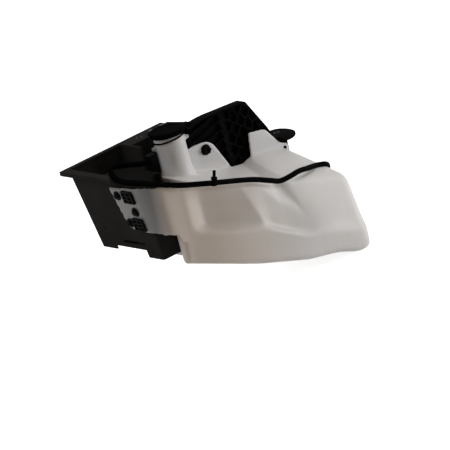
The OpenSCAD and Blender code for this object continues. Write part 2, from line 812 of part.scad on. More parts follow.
module inlet_strainer() {
    strainer_y1 = tank_back - tank_wall - 8;
    color(white)
        difference() {
            bar_y(inlet_r + fit + 1.5, pump_x, pump_z, strainer_y1 - 20, strainer_y1);
            bar_y(inlet_r + fit, pump_x, pump_z, strainer_y1 - 18.5, strainer_y1 + over);
            for (k = [0 : 3])
                translate([pump_x - 20, strainer_y1 - 16.5 + k * 2.2, pump_z - 3])
                    cube([40, 1.2, 6]);
        }
}

module pump_plug() {
    color(black)
        translate([pump_x - plug_half, pump_y - 9, plug_z - 7 - eps])
            cube([2 * plug_half, 18, 14]);
}

// the conduit's first end stands in a socket in the plug's left face
plug_socket = 2.5;
module harness_plug() {
    plug_len = 18;
    plug_w = 16;
    color(black)
        translate(route[0] - [plug_socket, 0, 0])
            difference() {
                translate([0, -plug_w / 2, -plug_w / 2])
                    cube([plug_len, plug_w, plug_w]);
                translate([-over, 0, 0])
                    rotate([0, 90, 0])
                        cylinder(r = conduit_r + 2 * fit, h = plug_socket + 2 * over);
            }
}

module shelf_screw(spot) {
    color(steel)
        translate([spot[0], spot[1], -rim_drop])
            union() {
                cylinder(r = shelf_screw_r * 2.2, h = 3);
                translate([0, 0, -rim_t - ear_t - 6])
                    cylinder(r = shelf_screw_r, h = rim_t + ear_t + 7);
            }
}

module sleeve(spot, z, h) {
    color(steel)
        translate([spot[0], spot[1], z])
            difference() {
                cylinder(r = sleeve_r, h = h);
                translate([0, 0, -over])
                    cylinder(r = sleeve_bore_r, h = h + 2 * over);
            }
}

tank();
tank_arm();
carrier_tub();
rib_bracket();
tether_ring();
filler_lid();
lid_seal();
tab_bolt();
flange_screw(screw_spots[0]);  // flange_screw_upper
flange_screw(screw_spots[1]);  // flange_screw_middle
flange_screw(screw_spots[2]);  // flange_screw_lower
grid_clip(clip_spots[0]);  // grid_clip_upper
grid_clip(clip_spots[1]);  // grid_clip_lower
plate_rivet();
harness_conduit();
cable_tie();
washer_pump();
pump_grommet();
inlet_strainer();
pump_plug();
harness_plug();
shelf_screw(foot_screws[0]);  // shelf_screw_left
shelf_screw(foot_screws[1]);  // shelf_screw_right
sleeve(shelf_hole, -rim_drop - rim_t, rim_t);  // shelf_sleeve
sleeve(ear_hole, ear_z, ear_t);  // ear_sleeve
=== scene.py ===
# %% [markdown]
# # Washer fluid reservoir: dressing the CAD frame
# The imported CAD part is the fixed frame. This lesson adds what the CAD leaves out: the soft skin of
# the blown tank, the rings of the conduit, the low wall of the tub, and the surface of each plastic,
# rubber and steel piece. The origin is the centre of the filler mouth. Blender works in metres, and
# new pieces are drawn in millimetres.

# %% Load the frame
import json
import math

import bmesh
import bpy
import numpy as np
from mathutils import Matrix, Vector

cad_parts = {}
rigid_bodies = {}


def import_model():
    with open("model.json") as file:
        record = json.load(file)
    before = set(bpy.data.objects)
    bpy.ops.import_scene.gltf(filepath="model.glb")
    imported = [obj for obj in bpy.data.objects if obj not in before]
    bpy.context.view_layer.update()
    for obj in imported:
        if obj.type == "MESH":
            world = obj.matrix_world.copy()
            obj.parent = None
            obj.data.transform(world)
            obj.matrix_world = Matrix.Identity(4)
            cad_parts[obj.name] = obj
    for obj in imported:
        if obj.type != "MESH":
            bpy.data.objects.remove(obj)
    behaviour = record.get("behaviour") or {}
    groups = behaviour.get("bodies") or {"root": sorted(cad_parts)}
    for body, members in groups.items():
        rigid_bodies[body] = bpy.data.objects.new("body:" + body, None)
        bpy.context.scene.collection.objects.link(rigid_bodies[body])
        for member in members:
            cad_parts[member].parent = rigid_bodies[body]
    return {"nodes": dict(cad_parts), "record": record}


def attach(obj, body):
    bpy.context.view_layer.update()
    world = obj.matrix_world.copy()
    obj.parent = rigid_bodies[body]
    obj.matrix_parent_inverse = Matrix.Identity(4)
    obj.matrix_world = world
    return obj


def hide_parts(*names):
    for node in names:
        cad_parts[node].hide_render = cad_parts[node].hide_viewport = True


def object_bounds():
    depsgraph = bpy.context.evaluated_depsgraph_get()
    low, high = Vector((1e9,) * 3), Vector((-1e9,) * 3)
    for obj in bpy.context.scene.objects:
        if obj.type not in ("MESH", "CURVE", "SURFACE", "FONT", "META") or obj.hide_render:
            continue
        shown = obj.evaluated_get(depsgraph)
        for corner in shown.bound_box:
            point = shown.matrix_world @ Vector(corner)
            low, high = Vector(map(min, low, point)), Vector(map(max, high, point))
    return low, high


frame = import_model()
cad_low, cad_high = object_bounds()
nodes = frame["nodes"]
scene = bpy.context.scene
print("CAD nodes:", len(nodes), "size:", [round(h - l, 3) for l, h in zip(cad_low, cad_high)])

# %% [markdown]
# ## The camera
# The reservoir stands turned by 34 degrees, is seen from 18 degrees above, and leans 15 degrees to
# the left in the picture. A short lens close by would make its edges run together. A long lens far
# away keeps them almost parallel, as they are in the picture.

# %% Place the camera
TURN, RISE, LEAN = math.radians(-34), math.radians(18), math.radians(15)
AIM = Vector((0.0147, -0.0808, -0.181))
LENS, SENSOR, WIDTH_SEEN, SEEN_TO = 600.0, 36.0, 0.81, 50.0


def camera_axes(turn, rise, lean):
    """Right, up and back axes of a camera: turned about Z, raised, then leaned about its own view line."""
    back = Vector((math.sin(turn) * math.cos(rise), -math.cos(turn) * math.cos(rise), math.sin(rise)))
    right = Vector((math.cos(turn), math.sin(turn), 0))
    up = back.cross(right)
    leaned_right = right * math.cos(lean) - up * math.sin(lean)
    leaned_up = up * math.cos(lean) + right * math.sin(lean)
    return leaned_right, leaned_up, back


right, up, back = camera_axes(TURN, RISE, LEAN)
camera_data = bpy.data.cameras.new("camera")
camera_data.lens = LENS
camera_data.sensor_width = SENSOR
camera_data.clip_end = SEEN_TO
camera = bpy.data.objects.new("camera", camera_data)
scene.collection.objects.link(camera)
camera_place = AIM + back * (WIDTH_SEEN * LENS / SENSOR)
camera_turn = Matrix((right, up, back)).transposed().to_4x4()
camera.matrix_world = Matrix.Translation(camera_place) @ camera_turn
scene.camera = camera
print("camera at", [round(v, 3) for v in camera_place])

# %% [markdown]
# ## Light
# Small sharp lamps would draw hard shadows, so all lamps are broad. One hangs above on the right, a
# smaller one stands low on the right, and two more light the left side and the back. The top of the
# tank is then bright, and its front stays in shade. Only the low lamp shows in reflections, so that
# the black plastics stay black.

# %% Hang the lamps
SOFT_LIGHTS = [  # name, place, what it faces, width, power, seen in reflections
    ("light_top", (0.8, -0.15, 1.4), (0.05, -0.06, -0.15), 1.2, 9.0, False),
    ("light_left", (-1.6, 0.3, 0.9), (-0.1, -0.05, -0.12), 0.9, 7.5, False),
    ("light_back", (0.1, 1.7, 0.5), (0.05, 0.0, -0.15), 1.0, 7.0, False),
    ("light_right", (1.15, -0.85, -0.12), (0.12, -0.1, -0.22), 0.6, 8.4, True),
]
scene.view_settings.view_transform = "Standard"


def soft_light(name, spot, aim, size, power, reflected):
    """A square lamp at spot that faces aim."""
    data = bpy.data.lights.new(name, "AREA")
    data.size = size
    data.energy = power
    lamp = bpy.data.objects.new(name, data)
    scene.collection.objects.link(lamp)
    lamp.location = spot
    lamp.rotation_euler = (Vector(aim) - Vector(spot)).to_track_quat("-Z", "Y").to_euler()
    lamp.visible_glossy = reflected
    return lamp


lamps = [soft_light(*row) for row in SOFT_LIGHTS]
print("lamps:", [lamp.name for lamp in lamps])

# %% [markdown]
# ### The surroundings
# One even white room would light the object too much. So the surroundings look white to the camera
# and in reflections, and give only a weak warm light to everything else.

# %% Fill the surroundings
WARM_AIR, WARM_STRENGTH = (1.0, 0.80, 0.62, 1), 0.12
WHITE_AIR, WHITE_STRENGTH = (1, 1, 1, 1), 1.0
SEEN_RAYS = ("Is Camera Ray", "Is Glossy Ray", "Is Transmission Ray")


def any_ray(tree, kinds):
    """1 where the ray is one of the named kinds, and otherwise 0: the largest of their marks."""
    ray = tree.nodes.new("ShaderNodeLightPath")
    either = ray.outputs[kinds[0]]
    for kind in kinds[1:]:
        node = tree.nodes.new("ShaderNodeMath")
        node.operation = "MAXIMUM"
        tree.links.new(either, node.inputs[0])
        tree.links.new(ray.outputs[kind], node.inputs[1])
        either = node.outputs[0]
    return either


def air(tree, colour, strength):
    """Light of one colour from everywhere."""
    node = tree.nodes.new("ShaderNodeBackground")
    node.inputs["Color"].default_value = colour
    node.inputs["Strength"].default_value = strength
    return node.outputs[0]


world = bpy.data.worlds.new("surroundings")
scene.world = world
world.use_nodes = True
tree = world.node_tree
tree.nodes.clear()
by_eye = tree.nodes.new("ShaderNodeMixShader")
tree.links.new(any_ray(tree, SEEN_RAYS), by_eye.inputs["Fac"])
tree.links.new(air(tree, WARM_AIR, WARM_STRENGTH), by_eye.inputs[1])
tree.links.new(air(tree, WHITE_AIR, WHITE_STRENGTH), by_eye.inputs[2])
world_out = tree.nodes.new("ShaderNodeOutputWorld")
tree.links.new(by_eye.outputs[0], world_out.inputs["Surface"])
print("surroundings:", len(tree.nodes), "nodes")

# %% [markdown]
# ## Tools for new pieces
# A new piece is drawn as rings of points in millimetres. Points could be added one by one, but whole
# arrays are much faster. One helper joins the rings by faces and closes both ends, and the other
# hands everything to Blender in one go, with the faces turned outwards.

# %% From arrays to a mesh
MM = 0.001


def closed_skin(rings, start=0):
    """Points and faces of (rows, columns, 3) rings: a quad between each two rows and two neighbouring columns,
    with the last column next to the first, and one many-sided face on each end. Corner numbers begin at start."""
    rows, columns = rings.shape[:2]
    number = start + np.arange(rows * columns).reshape(rows, columns)
    beside = np.roll(number, -1, 1)
    quads = np.stack([number[:-1], beside[:-1], beside[1:], number[1:]], -1).reshape(-1, 4)
    ends = [number[0, ::-1].tolist(), number[-1].tolist()]
    return rings.reshape(-1, 3), quads.tolist() + ends


def new_piece(name, points, faces, smooth=True):
    """A mesh object from points in millimetres and lists of corners, with its faces turned outwards."""
    mesh = bpy.data.meshes.new(name)
    mesh.from_pydata((np.asarray(points) * MM).tolist(), [], faces)
    turned_out = bmesh.new()
    turned_out.from_mesh(mesh)
    bmesh.ops.recalc_face_normals(turned_out, faces=turned_out.faces)
    turned_out.to_mesh(mesh)
    turned_out.free()
    mesh.polygons.foreach_set("use_smooth", np.full(len(mesh.polygons), smooth))
    piece = bpy.data.objects.new(name, mesh)
    scene.collection.objects.link(piece)
    return piece


print("3 rings of 4 points have", len(closed_skin(np.zeros((3, 4, 3)))[1]), "faces")

# %% [markdown]
# Modifiers do what arrays can't do simply, such as cutting one shape out of another. Their result is
# then worked into the mesh, so that the mesh holds what is seen.

# %% From modifiers to a mesh
def settle(piece):
    """Works the piece's modifiers into its mesh and shades it smooth."""
    bpy.context.view_layer.update()
    seen = piece.evaluated_get(bpy.context.evaluated_depsgraph_get())
    mesh = bpy.data.meshes.new_from_object(seen)
    piece.modifiers.clear()
    piece.data = mesh
    mesh.name = piece.name
    mesh.polygons.foreach_set("use_smooth", np.ones(len(mesh.polygons), bool))


def take_out(piece, rings):
    """Cuts the closed shape of the rings out of a piece."""
    tool = new_piece("cut", *closed_skin(rings))
    cut = piece.modifiers.new("cut", "BOOLEAN")
    cut.operation = "DIFFERENCE"
    cut.solver = "EXACT"
    cut.object = tool
    settle(piece)
    bpy.data.objects.remove(tool)


print("modifier tools:", settle.__name__, take_out.__name__)

# %% [markdown]
# Blown and moulded shapes change gently. Two helpers give soft numbers: a rise that is level at both
# ends, and a table of values that is averaged a little so that no kink is left.

# %% Soft numbers
def ease(x, low, high):
    """Rises from 0 at low to 1 at high, level at both ends: 3t^2 - 2t^3."""
    t = np.clip((x - low) / (high - low), 0, 1)
    return t * t * (3 - 2 * t)


def eased_table(x, table, reach=9.0, looks=7):
    """A value read from (place, value) pairs: the mean of a few looks over a short reach to both sides of x."""
    pairs = np.array(table, float)
    offsets = np.linspace(-reach, reach, looks)
    return np.mean(np.interp(np.asarray(x)[..., None] + offsets, pairs[:, 0], pairs[:, 1]), -1)


print("half way up an ease:", float(ease(0.5, 0, 1)))

# %% [markdown]
# ## The blown tank
# The tank is one hollow off-white moulding. It could be cut from a block with many bevels, but a loft
# is closer to how a blown wall flows: sections along X, each a six-cornered outline in Y and Z whose
# corners are softened by short parabolas.

# %% Softened outlines
BEND, STRAIGHT, LARGEST_CUT = 8, 10, 0.45


def soft_sections(corners, cut):
    """Softened outlines: at each corner a parabola from cut before it to cut after it, then a straight run. A cut
    takes at most a fixed share of either side."""
    before, after = np.roll(corners, 1, 1), np.roll(corners, -1, 1)
    to_a, to_b = before - corners, after - corners
    len_a = np.linalg.norm(to_a, axis=-1, keepdims=True)
    len_b = np.linalg.norm(to_b, axis=-1, keepdims=True)
    cut = np.asarray(cut)[None, :, None]
    p = corners + np.minimum(cut, LARGEST_CUT * len_a) * to_a / len_a
    q = corners + np.minimum(cut, LARGEST_CUT * len_b) * to_b / len_b
    t = np.linspace(0, 1, BEND + 1)[None, None, :, None]
    curve = (1 - t) ** 2 * p[:, :, None] + 2 * t * (1 - t) * corners[:, :, None] + t**2 * q[:, :, None]
    s = np.linspace(0, 1, STRAIGHT + 2)[1:-1][None, None, :, None]
    run = q[:, :, None] * (1 - s) + np.roll(p, -1, 1)[:, :, None] * s
    return np.concatenate([curve, run], 2).reshape(len(corners), -1, 2)


def soft_outline(points, cut):
    """The softened outline of one polygon."""
    return soft_sections(np.array(points, float)[None], np.broadcast_to(cut, len(points)))[0]


print("a softened square has", len(soft_outline([[0, 0], [0, 9], [9, 9], [9, 0]], 2)), "points")

# %% [markdown]
# ### The pressed front
# A deep pocket is pressed into the front's left half, and a valley runs down from the top edge. They
# could be cut with a boolean, but that leaves hard rims. Here they move the points of the sections,
# so the wall stays one smooth sheet.

# %% Pocket and front valley
TANK_LEFT, TANK_RIGHT = -128.0, 262.0
POCKET_DEEP, POCKET_FULL_X, POCKET_CURVE = 24.0, -66, 0.85
POCKET_LEFT_X, POCKET_RIGHT_V, POCKET_RIGHT_X = (-106, -58), [0.42, 0.96], [46, 14]
POCKET_EDGE, POCKET_FADE_V, POCKET_FADE = 0.12, (0.72, 1.0), 0.6
VALLEY_V, VALLEY_X, VALLEY_DEEP = [0.55, 1.0], [138, 97], [0, 7.0]
VALLEY_WIDE_LEFT, VALLEY_WIDE_RIGHT = [1, 56], [1, 19]


def wedge(x, middle, wide_left, wide_right):
    """How far x is from the middle line, as a share of the width on that side: 0 in the middle, 1 at the rim."""
    return np.where(x < middle, (middle - x) / wide_left, (x - middle) / wide_right)


def front_presses(x, v, band):
    """Depth pressed into the front at x and at height v (0 floor, 1 top): a pocket above the band that has a
    slanting right side and fades towards the top, and a valley that is wide at the top and ends in a point."""
    side = np.interp(v, POCKET_RIGHT_V, POCKET_RIGHT_X)
    slope = np.clip((side - x) / (side - POCKET_FULL_X), 0, 1)
    pocket = ease(x, *POCKET_LEFT_X) * slope**POCKET_CURVE * ease(v, band, band + POCKET_EDGE)
    pocket = POCKET_DEEP * pocket * (1 - POCKET_FADE * ease(v, *POCKET_FADE_V))
    wide_left, wide_right = np.interp(v, VALLEY_V, VALLEY_WIDE_LEFT), np.interp(v, VALLEY_V, VALLEY_WIDE_RIGHT)
    off = wedge(x, np.interp(v, VALLEY_V, VALLEY_X), wide_left, wide_right)
    return pocket + np.interp(v, VALLEY_V, VALLEY_DEEP) * ease(1 - off, 0, 1)


across_front = front_presses(np.linspace(TANK_LEFT, TANK_RIGHT, 400), 0.6, 0.4)
print("deepest press mm:", round(float(across_front.max()), 1))

# %% [markdown]
# ### The valley on top
# The front valley goes on over the top of the tank, towards the back right, and gets shallower on its
# way. It moves points as well, by a tent shape across its middle line.

# %% Top valley
DIP_Y, DIP_X, DIP_DEEP, DIP_START_Y = [-165, 14], [90, 150], [13, 5], (-180, -155)
DIP_WIDE_LEFT, DIP_WIDE_RIGHT = [48, 40], [28, 14]


def top_valley(x, y):
    """How far the top dips: a tent across the valley's middle line, steeper on its right side."""
    wide_left, wide_right = np.interp(y, DIP_Y, DIP_WIDE_LEFT), np.interp(y, DIP_Y, DIP_WIDE_RIGHT)
    off = wedge(x, np.interp(y, DIP_Y, DIP_X), wide_left, wide_right)
    return np.interp(y, DIP_Y, DIP_DEEP) * np.clip(1 - off, 0, 1) * ease(y, *DIP_START_Y)


print("dip at the front edge mm:", round(float(top_valley(DIP_X[0], DIP_Y[0])), 1))

# %% [markdown]
# ### Places of the sections
# Both ends of the tank are rounded. A bevel would stop at the pressed forms, so the last sections are
# drawn in on a quarter circle instead, close together, with even steps between the ends.

# %% Section places
LEFT_ROUND, RIGHT_ROUND, ROUND_STEPS, STEP_X, LAST_GAP = 8, 24, 7, 4.0, 2


def section_places(inset):
    """Places along X, and how far each section is drawn in: quarter circles at both ends, even steps between."""
    turn = np.radians(np.linspace(90, 0, ROUND_STEPS))
    left_x = TANK_LEFT + inset + LEFT_ROUND * (1 - np.sin(turn))
    right_x = TANK_RIGHT - inset - RIGHT_ROUND * (1 - np.sin(turn[::-1]))
    middle_x = np.arange(left_x[-1] + STEP_X, right_x[0] - LAST_GAP, STEP_X)
    left_in, right_in = LEFT_ROUND * (1 - np.cos(turn)), RIGHT_ROUND * (1 - np.cos(turn[::-1]))
    return np.concatenate([left_x, middle_x, right_x]), np.concatenate([left_in, 0 * middle_x, right_in])


print("sections:", len(section_places(0)[0]))

# %% [markdown]
# ### Sections of the body
# The top and the floor fall to the right, so the body looks sheared. Small tables along X say how far
# the front leans, where its lower band ends, and how high the lobe at the back rises. Each number can
# be checked by eye on the picture, which is harder with a mesh that is pushed by hand.

# %% Tank sections
TANK_FRONT, TANK_TOP, FALL = -170.0, -85.0, 0.333  # front, top where X is 0, and the top's fall along X
ARM_END, ARM_BACK = -47, -129  # left of this X the tank is an arm, which ends at this Y
SKIN_IN, WALL, FLOOR_ROUND = 0.35, 5.0, 0.1
LOBE_HIGH, BEVEL_LEAN = 20, 0.3
PRESS_REACH, DIP_FROM_V = (34, 60), (0.55, 0.8)
CORNER_CUTS = [12, 4, 8, 13, 10, 14]
# Each table has pairs of a place along X and a value there.
FRONT_SET_BACK = [[-112, 16.0], [-60, 6.5], [-20, 2.5], [40, 0], [140, -2], [262, -6]]
FLOOR_AT = [[-150, -182], [14, -249], [122, -285], [187, -297], [226, -312], [290, -312]]
REAR_AT = [[38, 36], [54, 14]]
FRONT_LEAN = [[-112, 0], [-70, 4], [0, 9], [100, 14], [180, 20], [262, 23]]
LOBE = [[90, 0], [119, 0.37], [169, 1.17], [205, 1.5], [235, 1.75], [262, 1.7]]
LOW_BAND = [[-130, 0.385], [-20, 0.40], [50, 0.425], [126, 0.30], [200, 0.28]]
BAND_STEP = [[36, 0], [60, 7], [100, 7], [150, 0]]
BAND_BEVEL = [[20, 0.14], [60, 0.045], [110, 0.045], [170, 0.14]]
UNDERCUT = [[150, 5], [225, 2.5]]


def tank_sections(inset):
    """Rings of the tank, drawn in by inset: at each X six corners in Y and Z, softened, then pressed in."""
    x, end_in = section_places(inset)
    drawn_in = inset + end_in
    front = TANK_FRONT + eased_table(x, FRONT_SET_BACK) + drawn_in
    floor = eased_table(x, FLOOR_AT) + inset + FLOOR_ROUND * (drawn_in - inset)
    top = TANK_TOP - FALL * x - drawn_in
    rear = np.where(x < ARM_END + inset, ARM_BACK, eased_table(x, REAR_AT)) - drawn_in
    lean, lobe = eased_table(x, FRONT_LEAN), LOBE_HIGH * eased_table(x, LOBE)
    band, bevel = eased_table(x, LOW_BAND), eased_table(x, BAND_BEVEL)
    tall = top - floor
    above_band = front + BEVEL_LEAN * lean + eased_table(x, BAND_STEP)
    corner_y = [front + eased_table(x, UNDERCUT), front, above_band, front + lean, rear, rear]
    corner_z = [floor, floor + band * tall, floor + (band + bevel) * tall, top, top + lobe, floor]
    yz = soft_sections(np.stack([np.stack(corner_y, -1), np.stack(corner_z, -1)], -1), CORNER_CUTS)
    xs = np.broadcast_to(x[:, None], yz.shape[:2])
    y, z = yz[..., 0], yz[..., 1]
    v = (z - floor[:, None]) / tall[:, None]
    near = 1 - ease(y - front[:, None], *PRESS_REACH)
    y = y + near * front_presses(xs, v, band[:, None])
    z = z - ease(v, *DIP_FROM_V) * top_valley(xs, y)
    return np.stack([xs, y, z], -1)


body = tank_sections(SKIN_IN)
print("body: sections, points in each:", body.shape[:2])

# %% [markdown]
# ### The neck
# The filler neck is round, with a lip on top, and widens where it meets the body. A cylinder with
# modifiers could do it, but a turned profile shows all of that in one line of numbers.

# %% Neck
NECK_R, NECK_DEEP, NECK_ROWS, NECK_TOP = 27.9, 108, 60, 0.05
LIP, LIP_EDGE, FLARE, FLARE_FROM = 1.0, (2.4, 3.6), 7, 66


def turned_rings(profile, sides=96):
    """A solid of revolution about Z: (r, z) pairs swept round."""
    pr = np.array(profile, float)
    a = np.linspace(0, 2 * np.pi, sides, endpoint=False)
    return np.stack([pr[:, :1] * np.cos(a), pr[:, :1] * np.sin(a), np.repeat(pr[:, 1:], sides, 1)], -1)


neck_down = np.linspace(0, NECK_DEEP, NECK_ROWS)
neck_out = NECK_R + LIP * (1 - ease(neck_down, *LIP_EDGE)) + FLARE * ease(neck_down, FLARE_FROM, NECK_DEEP)
neck = turned_rings(np.column_stack([neck_out, -neck_down - NECK_TOP]))
print("neck widest mm:", round(2 * float(neck_out.max()), 1))

# %% [markdown]
# ### Tabs and lugs
# Two flat tabs behind the body take a bolt and a rivet, and two small square lugs stand out of the
# neck. They could be pulled out of the body's mesh face by face. As closed shapes of their own they
# are easier to draw, and the next steps merge them with the body.

# %% Tabs and lugs
BOLT_TAB = [[14, -124], [14, -58], [52, -52], [80, -54], [95, -62], [121, -118], [121, -140]]
BOLT_TAB_CUTS, BOLT_TAB_Y = [4, 4, 8, 10, 12, 8, 4], (8, 13.8)
PLATE_TAB = [[164, -160], [169, -119], [176, -76], [214, -83], [239, -121], [256, -127], [256, -142],
             [240, -148], [232, -170]]
PLATE_TAB_CUTS, PLATE_TAB_Y = [2, 6, 5, 8, 8, 6, 6, 6, 4], (8, 12)
LUG_HALF, LUG_CUT, LUG_REACH = 3.5, 1.0, (26, 35.4)
LUGS = [(146, -27), (-34, -19.5)]  # turn about Z in degrees, height
SQUARE = np.array([[-1, -1], [-1, 1], [1, 1], [1, -1]])


def plate(outline, thick, place):
    """Rings of a flat plate: its (a, b) outline at both ends of its thickness c, put in place by a function of
    (a, b, c)."""
    ring = np.asarray(outline, float)
    return np.stack([place(ring[:, 0], ring[:, 1], np.full(len(ring), c)) for c in thick])


def upright(a, b, c):
    """A place on an upright plate: a along X, b up, c along Y."""
    return np.stack([a, c, b], -1)


def round_the_neck(turn, z):
    """A function that puts (a, b, c) beside the neck: c outwards at a turn about Z, a sideways, b up from z."""
    cos, sin = math.cos(math.radians(turn)), math.sin(math.radians(turn))
    return lambda a, b, c: np.stack([c * cos - a * sin, c * sin + a * cos, b + z], -1)


bolt_tab = plate(soft_outline(BOLT_TAB, BOLT_TAB_CUTS), BOLT_TAB_Y, upright)
plate_tab = plate(soft_outline(PLATE_TAB, PLATE_TAB_CUTS), PLATE_TAB_Y, upright)
lugs = [plate(soft_outline(LUG_HALF * SQUARE, LUG_CUT), LUG_REACH, round_the_neck(*row)) for row in LUGS]
print("points in each tab:", bolt_tab.shape[1], plate_tab.shape[1], "lugs:", len(lugs))

# %% [markdown]
# ### The side flange
# A flange wraps from the tank's front round a slanted corner and lies on the tub's leaning left wall,
# where screws and clips hold it. A bent plate would not follow both walls. So it is a strip between
# an upper and a lower edge, and each edge is a softened line in plan with its own heights.

# %% Side flange
WALL_LEAN = math.atan(22 / 150)  # the tub's left wall leans in by 22 over a height of 150
RIM_X, RIM_Z, FLANGE_OUT, FLANGE_THICK = -179, -10, 4.17, 4.0
FLANGE_CORNER_Y, FLANGE_FRONT = -125, [[-150, -153.6], [-112, -153.6]]
FLANGE_CUTS = [0.1, 15, 14, 0.1]
OPEN_LINE = slice(BEND, 3 * (BEND + 1 + STRAIGHT) + 1)  # from the first corner's end to the last one's start
UPPER_Z, UPPER_START = -27, -40  # height on the tub's wall, and the Y where the edge starts
LOWER_Z, LOWER_START = -119, -53
UPPER_HEIGHTS = [[0, -31], [15, -27], [34, -33], [49, -46]]  # point along the edge, height there
LOWER_HEIGHTS = [[0, -113], [4, -119], [15, -119], [34, -126], [38, -131], [41, -147], [49, -152]]


def flange_edge(z_wall, start, heights):
    """One long edge of the flange, outside and inside: on the tub's leaning wall, across the slanted corner and on
    the tank's front. The inner line lies one thickness in, square to the outer one."""
    face = RIM_X + (RIM_Z - z_wall) * math.tan(WALL_LEAN) - FLANGE_OUT
    plan = soft_outline([[face, start], [face, FLANGE_CORNER_Y], *FLANGE_FRONT], FLANGE_CUTS)[OPEN_LINE]
    along = np.gradient(plan, axis=0)
    along /= np.linalg.norm(along, axis=1, keepdims=True)
    inward = FLANGE_THICK * np.stack([-along[:, 1], along[:, 0]], -1)
    z = np.interp(np.arange(len(plan)), *np.array(heights, float).T)[:, None]
    return np.hstack([plan, z]), np.hstack([plan + inward, z])


upper_outside, upper_inside = flange_edge(UPPER_Z, UPPER_START, UPPER_HEIGHTS)
lower_outside, lower_inside = flange_edge(LOWER_Z, LOWER_START, LOWER_HEIGHTS)
flange = np.stack([upper_outside, upper_inside, lower_inside, lower_outside], 1)
print("points along the flange:", len(flange))

# %% [markdown]
# ### One skin from the parts
# Blow moulding leaves no sharp seams, but joining the shapes with booleans would. So they are merged
# on a fine grid and smoothed, which rounds every place where the neck, tabs and flange grow out of
# the body.

# %% Merge the tank
GRID, SMOOTHINGS, SMOOTH_SHARE = 2.1, 5, 0.5


def joined(shapes):
    """Points and faces of several shapes, each an array of rings. A shape's corner numbers begin where those of the
    shapes before it end."""
    starts = np.cumsum([0] + [rings[..., 0].size for rings in shapes[:-1]])
    skins = [closed_skin(rings, start) for rings, start in zip(shapes, starts)]
    return np.concatenate([points for points, _ in skins]), sum((faces for _, faces in skins), [])


tank_skin = new_piece("tank_skin", *joined([body, neck, bolt_tab, plate_tab, flange, *lugs]))
merge = tank_skin.modifiers.new("merge", "REMESH")
merge.mode = "VOXEL"
merge.voxel_size = GRID * MM
merge.adaptivity = 0.0
softer = tank_skin.modifiers.new("softer", "SMOOTH")
softer.factor = SMOOTH_SHARE
softer.iterations = SMOOTHINGS
settle(tank_skin)
print("merged faces:", len(tank_skin.data.polygons))

# %% [markdown]
# ### The hollow inside
# A tank is empty. A Solidify modifier would fold the wall in tight corners, so the same sections,
# drawn in by the wall, are taken out. Every second point is enough, because nobody sees the inside
# closely. Then the bore of the neck opens the mouth.

# %% Hollow the tank
BORE_R, BORE_Z, SPARSE = 25.5, (5, -70, -140), 2
take_out(tank_skin, tank_sections(SKIN_IN + WALL)[::SPARSE, ::SPARSE])
take_out(tank_skin, turned_rings([[BORE_R, z] for z in BORE_Z]))
print("tank skin faces:", len(tank_skin.data.polygons))

# %% [markdown]
# ## The conduit
# A split conduit carries the wires from the plug in the tub, along the tank's front edge and over its
# right end to the pump. It is held at both ends and by a tie, so it isn't a loose cord. A bevelled
# curve could draw it, but its rings need a radius that changes hundreds of times. So a smooth curve
# through the points of the CAD part's route is cut into even steps, each with a radius of its own.

# %% Conduit route
ROUTE = np.array([
    [-72, -27.4, -24.5], [-86, -27.4, -24.5], [-112, -27.4, -16.5], [-146, -28, -6], [-162, -35, -7],
    [-168, -54, -19], [-168, -84, -22.5], [-163, -120, -22], [-150, -151, -27], [-128, -160, -36],
    [-108, -164, -44], [-66, -167, -58], [-44, -169, -65], [0, -170, -79], [40, -170, -93], [74, -168, -109],
    [98, -164, -120], [122, -164, -121], [148, -158, -122], [186, -134, -134], [220, -108, -146],
    [244, -104, -153], [265, -82, -167], [274, -58, -183], [273, -10, -188], [260, 28, -185],
    [232, 36, -177], [213, 36, -177]], float)
TIE_AT, ROUTE_STEP = 12, 0.6


def smooth_route(points, steps=24):
    """A curve through the points: on each span a cubic whose slope at a point is half the step between its
    neighbours."""
    padded = np.concatenate([points[:1], points, points[-1:]])
    a, b, c, d = (padded[i:len(padded) - 3 + i, None] for i in range(4))
    t = np.linspace(0, 1, steps, endpoint=False)[None, :, None]
    curve = 0.5 * (2 * b + (c - a) * t + (2 * a - 5 * b + 4 * c - d) * t**2 + (3 * b - a - 3 * c + d) * t**3)
    return np.concatenate([curve.reshape(-1, 3), points[-1:]])


def evenly(path, step):
    """The same path with points at equal steps along it, and the distance of each from the start."""
    gone = np.concatenate([[0], np.cumsum(np.linalg.norm(np.diff(path, axis=0), axis=1))])
    s = np.linspace(0, gone[-1], int(gone[-1] / step) + 1)
    return np.stack([np.interp(s, gone, path[:, k]) for k in range(3)], -1), s


route, gone = evenly(smooth_route(ROUTE), ROUTE_STEP)
tie_gone = gone[np.argmin(np.linalg.norm(route - ROUTE[TIE_AT], axis=1))]
print("conduit length mm:", round(float(gone[-1])), "tie at:", round(float(tie_gone)))

# %% [markdown]
# ### Rings and tape
# Up to the tie the conduit is ringed, and after it a smooth taped sleeve. Single rings could be
# copied along the route, but a radius that changes along it keeps one closed skin: a rounded wave for
# the rings, and a small step at each turn of the tape.

# %% Conduit rings
CONDUIT_R, CONDUIT_SIDES = 5.3, 24
RING_PITCH, RING_DEEP, RIDGE_BAND = 4.0, 1.9, (-0.3, 0.7)
RINGS_FADE_BEFORE, RINGS_FADE_AFTER = 2, 6
SLEEVE_IN, TAPE_TURN, TAPE_THICK, TAPE_EDGE = 0.5, 14, 0.12, 0.12


